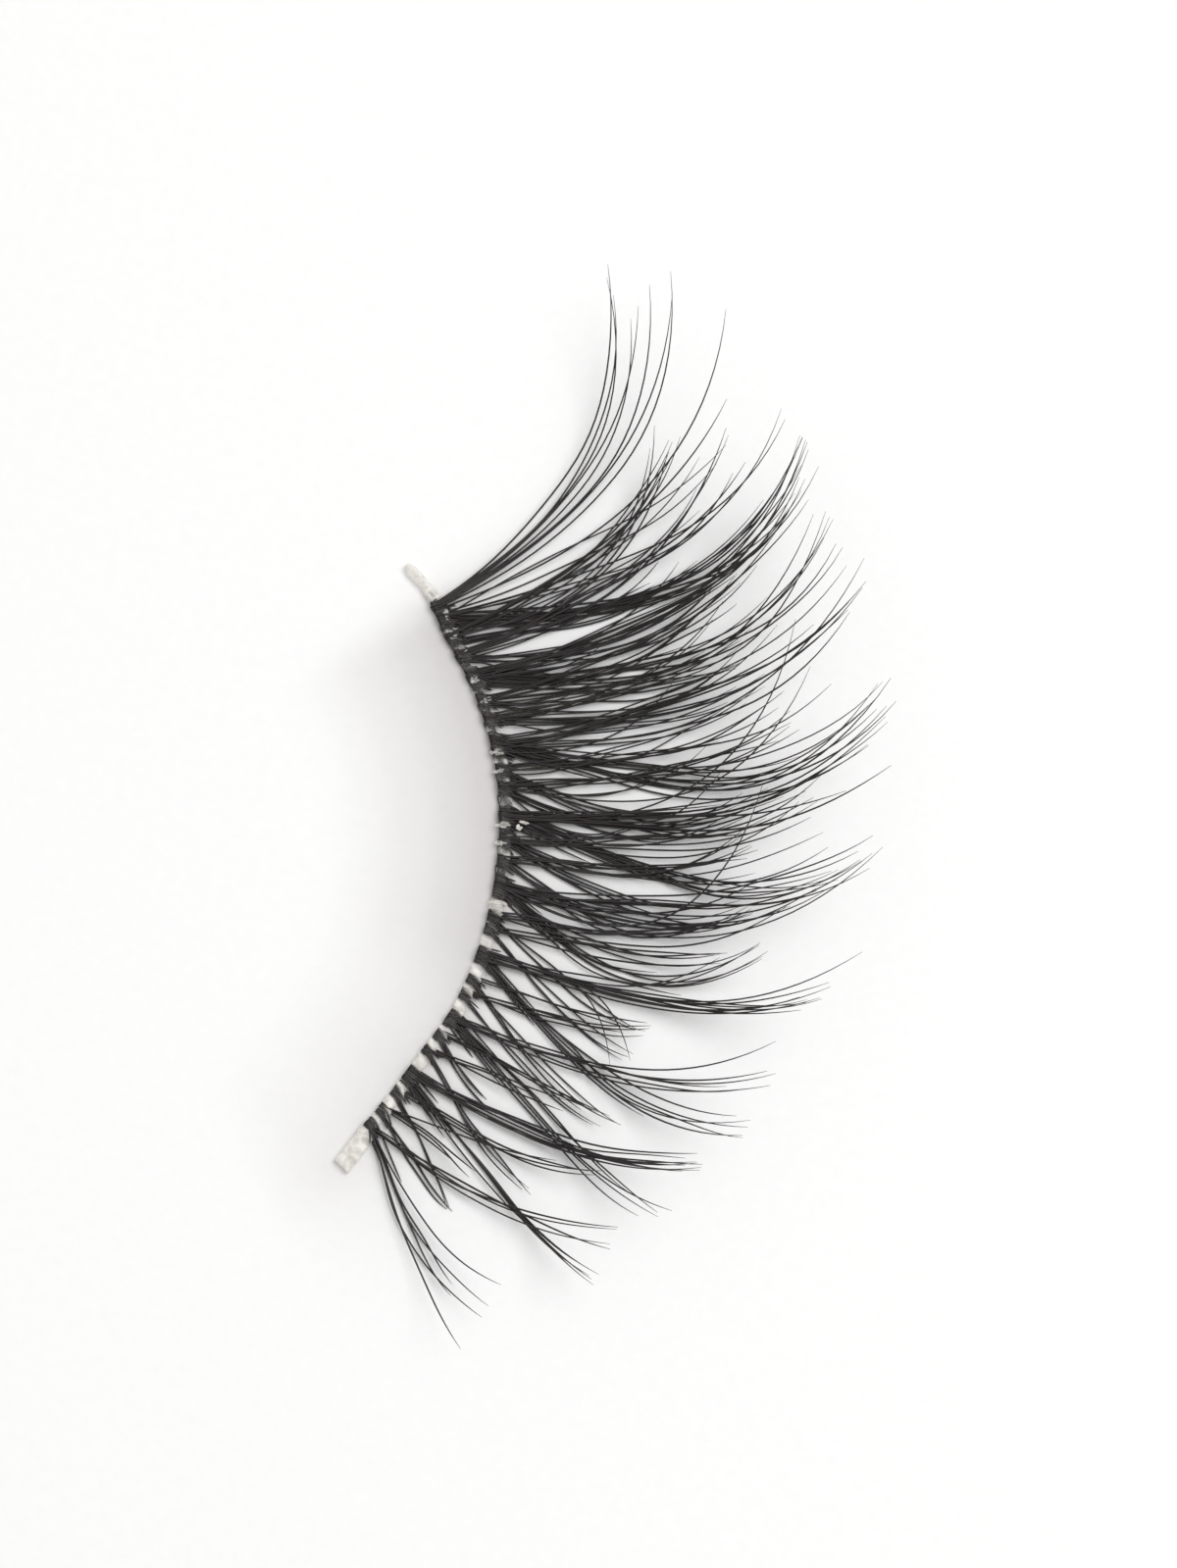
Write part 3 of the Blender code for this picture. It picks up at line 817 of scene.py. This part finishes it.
def tail_strands(knot, rng):
    """Ends of fibre pressed along the band from one knot to the next."""
    if knot.row < TAILS_FROM_ROW:
        return []
    strands = []
    for index in range(TAILS):
        begin = knot_middle(knot) - rng.uniform(*TAIL_START) * MM
        length = min(rng.uniform(*TAIL_LENGTH) * MM, TAIL_LIMIT - begin)
        out = (FIRST_TAIL_OUT + TAIL_PITCH * index) * MM
        level = rng.uniform(*TAIL_LEVEL) * MM
        points = []
        for step in range(RINGS):
            share = step / (RINGS - 1)
            edge, _, normal = band_frame(begin + length * share)
            plan = edge + normal * (out + TAIL_WAVE * math.sin(TAIL_BENDS * share + TAIL_SHIFT * index))
            points.append(Vector((*plan, level)))
        radii = [FIBRE_THICKNESS / 2 * rng.uniform(*TAIL_THICKNESS)] * len(points)
        strands.append(Strand(points, radii, rng.random()))
    return strands


print("knots with ends along the band:", sum(knot.row >= TAILS_FROM_ROW for knot in KNOTS))

# %% [markdown]
# ## Dressing every knot
# Now each knot gets all of its fibres. Every lock has its own seed, so it grows the same each time, and a
# change to one lock leaves the others alone. Each lock becomes one piece, which takes the place of the CAD
# model's plain lock and belongs to the strip's one body.

# %% Grow the locks
SEED = 700


def lock_strands(knot, rng):
    """All fibres of one knot."""
    strands = []
    for leg in LEGS:
        if leg.knot == knot.number:
            strands.extend(leg_strands(leg, rng))
            strands.extend(root_strands(leg, knot.row, rng))
    strands.extend(single_hair(hair, rng) for hair in SINGLE_HAIRS if hair.knot == knot.number)
    strands.extend(loose_fibre(knot, rng) for _ in range(round(smooth_value(LOOSE_BY_ROW, knot.row))))
    strands.extend(crossing_fibre(knot, rng) for _ in range(round(smooth_value(CROSSING_BY_ROW, knot.row))))
    strands.extend(stub_strands(knot, rng))
    strands.extend(tail_strands(knot, rng))
    return strands


fibres = 0
for knot in KNOTS:
    strands = lock_strands(knot, random.Random(SEED + knot.number))
    fibres += len(strands)
    piece = tube_mesh(f"lashes_{knot.number:02d}", strands, LASH_FIBRE)
    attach(piece, "root")
    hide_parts(f"lash_lock_{knot.number:02d}")
print(f"{fibres} fibres in {len(KNOTS)} locks")

# %% [markdown]
# ## The clear plastic
# The band is clear plastic with dried glue on it. Where the fibres press the glue thin it is clear, and
# between the knots it is milky. The mesh will store how milky it is at each corner, in steps too fine for
# a few materials, and the shader turns that into how much of the light it lets through. A fine cloud of
# noise on top gives the granular look of dried glue.

# %% Make the plastic's material


def clear_plastic_look():
    """Clear plastic and dried glue, as milky as the mesh says."""
    made, shader, add, link = new_material("clear_plastic", Roughness=0.30, IOR=1.45)
    place = add("ShaderNodeTexCoord")
    cloud = add("ShaderNodeTexNoise", {"Scale": 2600.0, "Detail": 4.0})
    link(place.outputs["Object"], cloud.inputs["Vector"])
    tint = add("ShaderNodeValToRGB")
    tint.color_ramp.elements[0].position = 0.35
    tint.color_ramp.elements[0].color = (0.82, 0.79, 0.73, 1)
    tint.color_ramp.elements[1].position = 0.65
    tint.color_ramp.elements[1].color = (0.97, 0.95, 0.90, 1)
    link(cloud.outputs["Fac"], tint.inputs["Fac"])
    link(tint.outputs["Color"], shader.inputs["Base Color"])
    grains = add("ShaderNodeMapRange", {"From Min": 0.35, "From Max": 0.65, "To Min": 0.45, "To Max": 0.85})
    link(cloud.outputs["Fac"], grains.inputs["Value"])
    milk = add("ShaderNodeAttribute", attribute_name="milk")
    body = add("ShaderNodeMapRange", {"To Min": 0.05})
    link(milk.outputs["Fac"], body.inputs["Value"])
    cover = add("ShaderNodeMath", operation="MULTIPLY")
    link(grains.outputs["Result"], cover.inputs[0])
    link(body.outputs["Result"], cover.inputs[1])
    link(cover.outputs["Value"], shader.inputs["Alpha"])
    bump = add("ShaderNodeBump", {"Strength": 0.5, "Distance": 0.03 * MM})
    link(cloud.outputs["Fac"], bump.inputs["Height"])
    link(bump.outputs["Normal"], shader.inputs["Normal"])
    return made


CLEAR_PLASTIC = clear_plastic_look()
print("nodes in the plastic's material:", len(CLEAR_PLASTIC.node_tree.nodes))

# %% [markdown]
# ## The outline of the band
# The band is a clear cord, pressed flat, with glue standing between the knots. In plan it has an unbroken
# inner edge and a lumpy outer one. Its two ends are bare plastic: the inner end is broad and cut square,
# the outer one narrower and rounded. Three short questions settle all of that for any place along it: where
# its edges are, how high it is and how milky it is.

# %% Work out the band's outline and its milkiness
OUTER_END_INSIDE = ((0, 0.0), (0.35, 0.12), (0.7, 0.10), (0.9, 0.16), (1, 0.30))
OUTER_END_OUTSIDE = ((0, 0.9), (0.35, 0.76), (0.7, 0.80), (0.9, 0.74), (1, 0.60))
OVER_KNOT_WIDTH, GLUE_BULGE = 0.80, 0.16
OVER_KNOT_HEIGHT, GLUE_RISE = 0.86, 0.10
GLUE_STRAY = 0.06 * MM
GLUE_GRAIN = 900
GLUE_SLICE, MILK_SLICE = 3.1, 7.7
INNER_END_FLARE = 0.06
FLARE_LENGTH = 0.5 * MM
INNER_END_INSIDE = -0.05
INNER_END_HEIGHT = 0.80
OUTER_END_HEIGHT = 0.86
INNER_END_MILK = 0.92
OUTER_END_MILK = 0.80
PATCH_SLANT = 0.4
PATCH_GRAIN = 2300
PATCH_FADE = 0.12 * MM
LEAST_PATCH = 0.3
MILK_BY_ROW = ((0, 0.85), (3.0, 0.80), (4.2, 0.08), (8, 0.08))
MILK_CHANGE_BY_ROW = ((0, 0.7), (3.0, 0.8), (4.2, 1.2), (8, 1.2))


def band_outline(at):
    """Inner and outer edge of the band at a place along it, and its height there."""
    past = abs(at) - KNOTTED_HALF
    if past <= 0:
        gap = min(abs(at - knot.at) - knot.width / 2 for knot in KNOTS)
        bulge = min(1.0, max(0.0, gap) / (KNOT_SPACE / 2))
        outer = BAND_WIDTH * (OVER_KNOT_WIDTH + GLUE_BULGE * bulge)
        outer += GLUE_STRAY * noise.noise(Vector((at * GLUE_GRAIN, GLUE_SLICE, 0)))
        return 0.0, outer, BAND_HEIGHT * (OVER_KNOT_HEIGHT + GLUE_RISE * bulge)
    if at < 0:
        outer = BAND_WIDTH * (1.0 + INNER_END_FLARE * min(1.0, past / FLARE_LENGTH))
        return INNER_END_INSIDE * BAND_WIDTH, outer, BAND_HEIGHT * INNER_END_HEIGHT
    share = past / END_LENGTH
    inner = BAND_WIDTH * smooth_value(OUTER_END_INSIDE, share)
    outer = BAND_WIDTH * smooth_value(OUTER_END_OUTSIDE, share)
    return inner, outer, BAND_HEIGHT * OUTER_END_HEIGHT


def milkiness(at, out):
    """How milky the band is: clear over a knot, where the fibres press the glue thin, milky between."""
    if abs(at) > KNOTTED_HALF:
        return INNER_END_MILK if at < 0 else OUTER_END_MILK
    along = at + PATCH_SLANT * out
    gap = min(abs(along - knot_middle(knot)) - knot.width / 2 for knot in KNOTS)
    change = smooth_value(MILK_CHANGE_BY_ROW, row_at(at))
    patch = smooth_value(MILK_BY_ROW, row_at(at))
    patch += change * noise.noise(Vector((along * PATCH_GRAIN, out * PATCH_GRAIN, MILK_SLICE)))
    return min(1.0, max(0.0, gap / PATCH_FADE + LEAST_PATCH)) * min(1.0, max(0.0, patch))


for at in (-KNOTTED_HALF - END_LENGTH / 2, 0.0, KNOTTED_HALF + END_LENGTH / 2):
    inner, outer, height = band_outline(at)
    print(f"band at {at / MM:.1f} mm: {(outer - inner) / MM:.2f} mm wide, {height / MM:.2f} mm high")

# %% [markdown]
# ## Lofting the band
# A curve with a bevel could not be lumpy on one side only, so rings are lofted along the band. Noise pushes
# the top of each ring about, but not its underside, which lies flat on the eyelid. Beads of dried glue
# stand from about the middle to the outer corner: rough little balls, pressed flat. One row holds one bead,
# with its place and size (in mm) and how milky it is. The two white flakes that stick out between the
# lashes are beads too.

# %% Loft the band and add the glue
BAND_RINGS = 640
RING_POINTS = 22
PRESSED = 0.7
RELIEF = 0.035 * MM
RELIEF_GRAINS = (2600, 6500)
FLAT_UNDERSIDE = 0.2
BEAD_HEIGHT = 0.06
BEAD_SIZE, BEAD_ROUGHNESS = 0.9, 1.1
BEAD_GRAIN, BEAD_VARIETY = 1.3, 3000
Bead = namedtuple("Bead", "at out up along across milk")
GLUE_BEADS = (
    Bead(-1.25, 0.45, 0.38, 0.14, 0.34, 0.50),
    Bead(1.58, 0.30, 0.38, 0.13, 0.24, 0.50),
    Bead(2.42, 0.45, 0.39, 0.13, 0.34, 0.50),
    Bead(2.30, 1.15, 0.50, 0.10, 0.16, 0.95),
    Bead(2.50, 1.45, 0.50, 0.08, 0.22, 0.95),
    Bead(4.98, 0.35, 0.38, 0.10, 0.22, 0.50),
    Bead(5.90, 0.50, 0.38, 0.14, 0.34, 0.50),
    Bead(8.38, 0.55, 0.38, 0.15, 0.24, 0.50),
    Bead(9.50, 0.35, 0.38, 0.17, 0.22, 0.50),
    Bead(10.90, 0.45, 0.36, 0.08, 0.12, 0.50),
    Bead(11.75, 0.30, 0.38, 0.10, 0.22, 0.50),
    Bead(12.85, 0.45, 0.36, 0.22, 0.12, 0.50),
)


def add_bead(bm, bead):
    """A rough bead of dried glue; gives back how many corners it has."""
    made = bmesh.ops.create_icosphere(bm, subdivisions=3, radius=1.0)["verts"]
    _, along, normal = band_frame(bead.at * MM)
    centre = Vector((*spot(bead.at * MM, bead.out * MM), bead.up * MM))
    for vert in made:
        rough = BEAD_SIZE + BEAD_ROUGHNESS * noise.noise(vert.co * BEAD_GRAIN + centre * BEAD_VARIETY)
        side, far, up = vert.co * rough
        plan = along * side * bead.along + normal * far * bead.across
        vert.co = centre + Vector((*plan, up * BEAD_HEIGHT)) * MM
    return len(made)


def pressed(value):
    """A sine or cosine pushed outwards, which makes the ring of a pressed cord squarish."""
    return math.copysign(abs(value) ** PRESSED, value)


def band_ring(at):
    """The corners of one ring of the band, and how milky each of them is."""
    root, _, normal = band_frame(at)
    inner, outer, height = band_outline(at)
    corners, milk = [], []
    for turn in range(RING_POINTS):
        angle = 2 * math.pi * turn / RING_POINTS
        out = (inner + outer) / 2 - (outer - inner) / 2 * pressed(math.cos(angle))
        up = height / 2 + height / 2 * pressed(math.sin(angle))
        corner = Vector((*(root + normal * out), up))
        if up > FLAT_UNDERSIDE * height:
            coarse, fine = (noise.noise(corner * grain) for grain in RELIEF_GRAINS)
            corner.z += RELIEF * (coarse + fine) / 2
        corners.append(corner)
        milk.append(milkiness(at, out))
    return corners, milk


def clear_band_mesh():
    """The band as one closed form, with the beads of glue standing on it."""
    bm = bmesh.new()
    rings, milk = [], []
    for step in range(BAND_RINGS + 1):
        corners, ring_milk = band_ring(-BAND_LENGTH / 2 + BAND_LENGTH * step / BAND_RINGS)
        rings.append([bm.verts.new(corner) for corner in corners])
        milk.extend(ring_milk)
    for ring, following in zip(rings, rings[1:]):
        for index in range(RING_POINTS):
            beside = (index + 1) % RING_POINTS
            bm.faces.new((ring[index], ring[beside], following[beside], following[index]))
    bm.faces.new(rings[0][::-1])
    bm.faces.new(rings[-1])
    for bead in GLUE_BEADS:
        milk.extend([bead.milk] * add_bead(bm, bead))
    bmesh.ops.recalc_face_normals(bm, faces=bm.faces[:])
    mesh = bpy.data.meshes.new("band")
    bm.to_mesh(mesh)
    bm.free()
    mesh.attributes.new("milk", "FLOAT", "POINT").data.foreach_set("value", milk)
    return mesh


band = new_piece("band", clear_band_mesh(), CLEAR_PLASTIC)
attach(band, "root")
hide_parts("clear_band")
print("corners in the band:", len(band.data.vertices), "- beads of glue:", len(GLUE_BEADS))

# %% [markdown]
# ## The paper
# The strip lies on a sheet of white paper. A plane is enough, because only its surface shows, but a plain
# white would look like empty space. The paper has a faint tooth, and around the band, mostly inside its
# arc, a soft shadow is painted into its colour, so the paper is a little less bright there. That painted
# shade follows the band, so it is given as two short profiles: across the arc, by the distance from its
# centre, and along it, by the angle.

# %% Make the paper's material
# The painted shade on the paper, a soft shadow around the band painted into its colour: its reach from the
# arc's centre in mm, then its two profiles.
PAINTED_SHADE_RADIUS = 32.0
PAINTED_SHADE_ACROSS = (
    (12.0, 0.0),
    (14.0, 0.10),
    (16.0, 0.36),
    (18.0, 0.62),
    (19.7, 0.90),
    (21.0, 1.00),
    (22.5, 0.60),
    (25.0, 0.25),
    (30.0, 0.0),
)
PAINTED_SHADE_ALONG = (
    (-58, 0.0),
    (-53, 0.08),
    (-46, 0.36),
    (-38, 0.50),
    (-30, 0.64),
    (-17, 0.70),
    (-8, 0.98),
    (30, 1.0),
    (35, 0.92),
    (39, 0.30),
    (43, 0.0),
)


def paper_look():
    """White paper with a faint tooth and a painted shade around the band's arc."""
    made, shader, add, link = new_material("paper", Roughness=0.85, **{"Specular IOR Level": 0.2})
    place = add("ShaderNodeTexCoord")
    tooth = add("ShaderNodeTexNoise", {"Scale": 1800.0, "Detail": 5.0})
    link(place.outputs["Object"], tooth.inputs["Vector"])
    from_centre = add("ShaderNodeMapping", vector_type="TEXTURE")
    from_centre.inputs["Location"].default_value = (*ARC_CENTRE, 0)
    from_centre.inputs["Scale"].default_value = [PAINTED_SHADE_RADIUS * MM] * 3
    link(place.outputs["Object"], from_centre.inputs["Vector"])

    def painted_shade_profile(gradient, rows):
        """A smooth curve through rows of (place from 0 to 1, share of the painted shade)."""
        measure = add("ShaderNodeTexGradient", gradient_type=gradient)
        link(from_centre.outputs["Vector"], measure.inputs["Vector"])
        profile = add("ShaderNodeValToRGB")
        profile.color_ramp.interpolation = "CARDINAL"
        profile.color_ramp.elements[1].color = (0, 0, 0, 1)
        for where, share in rows:
            profile.color_ramp.elements.new(where).color = (share, share, share, 1)
        link(measure.outputs["Fac"], profile.inputs["Fac"])
        return profile.outputs["Color"]

    across = [(1 - distance / PAINTED_SHADE_RADIUS, share) for distance, share in PAINTED_SHADE_ACROSS]
    along = [(0.5 + degrees / 360, share) for degrees, share in PAINTED_SHADE_ALONG]
    # The painted shade is the product of the profile across the arc and the one along it.
    shade = add("ShaderNodeMath", operation="MULTIPLY")
    link(painted_shade_profile("SPHERICAL", across), shade.inputs[0])
    link(painted_shade_profile("RADIAL", along), shade.inputs[1])
    # The painted shade darkens the paper's white towards this grey.
    tone = add("ShaderNodeMix", data_type="RGBA")
    tone.inputs["A"].default_value = (0.98, 0.98, 0.98, 1)
    tone.inputs["B"].default_value = (0.68, 0.665, 0.66, 1)
    link(shade.outputs["Value"], tone.inputs["Factor"])
    fleck = add("ShaderNodeMapRange", {"To Min": 0.97, "To Max": 1.02})
    link(tooth.outputs["Fac"], fleck.inputs["Value"])
    flecked = add("ShaderNodeVectorMath", operation="SCALE")
    link(tone.outputs["Result"], flecked.inputs["Vector"])
    link(fleck.outputs["Result"], flecked.inputs["Scale"])
    link(flecked.outputs["Vector"], shader.inputs["Base Color"])
    bump = add("ShaderNodeBump", {"Strength": 0.25, "Distance": 0.02 * MM})
    link(tooth.outputs["Fac"], bump.inputs["Height"])
    link(bump.outputs["Normal"], shader.inputs["Normal"])
    return made


PAPER = paper_look()
print("nodes in the paper's material:", len(PAPER.node_tree.nodes))

# %% [markdown]
# ## Laying the paper
# The sheet lies a hair's breadth below the strip, so that the two never share a surface, and it is large
# enough that its edge stays out of sight from low angles too.

# %% Lay the paper
PAPER_SIZE = 3000 * MM
PAPER_DROP = 0.01 * MM
PAPER_SEGMENTS = 60

bm = bmesh.new()
bmesh.ops.create_grid(bm, x_segments=PAPER_SEGMENTS, y_segments=PAPER_SEGMENTS, size=PAPER_SIZE / 2)
paper_mesh = bpy.data.meshes.new("paper")
bm.to_mesh(paper_mesh)
bm.free()
paper_mesh.materials.append(PAPER)
paper = bpy.data.objects.new("paper", paper_mesh)
paper.location = (0, 0, -PAPER_DROP)
bpy.context.scene.collection.objects.link(paper)
print(f"paper {PAPER_SIZE:.0f} m wide, {PAPER_DROP / MM} mm below the strip")

# %% [markdown]
# ## The light
# The photograph was taken in very soft daylight, with hardly a shadow. A large area lamp overhead and a
# bright even sky give that. The view is set to Standard, because white paper should come out white.

# %% Light the scene
LAMP_SIZE = 0.5
LAMP_PLACE = Vector((0.25, 0.15, 0.6))
LAMP_POWER = 2.7
SKY_COLOUR = (1.0, 0.99, 0.985, 1)
SKY_STRENGTH = 0.55

lamp_data = bpy.data.lights.new("window", "AREA")
lamp_data.shape = "DISK"
lamp_data.size = LAMP_SIZE
lamp_data.energy = LAMP_POWER
lamp = bpy.data.objects.new("window", lamp_data)
lamp.location = LAMP_PLACE
lamp.rotation_euler = (-LAMP_PLACE).to_track_quat("-Z", "Y").to_euler()
bpy.context.scene.collection.objects.link(lamp)
world = bpy.data.worlds.new("soft_daylight")
world.use_nodes = True
sky = world.node_tree.nodes["Background"]
sky.inputs["Color"].default_value = SKY_COLOUR
sky.inputs["Strength"].default_value = SKY_STRENGTH
bpy.context.scene.world = world
bpy.context.scene.view_settings.view_transform = "Standard"
print(f"lamp of {LAMP_POWER} W, {LAMP_PLACE.length:.2f} m away, under a sky of strength {SKY_STRENGTH}")
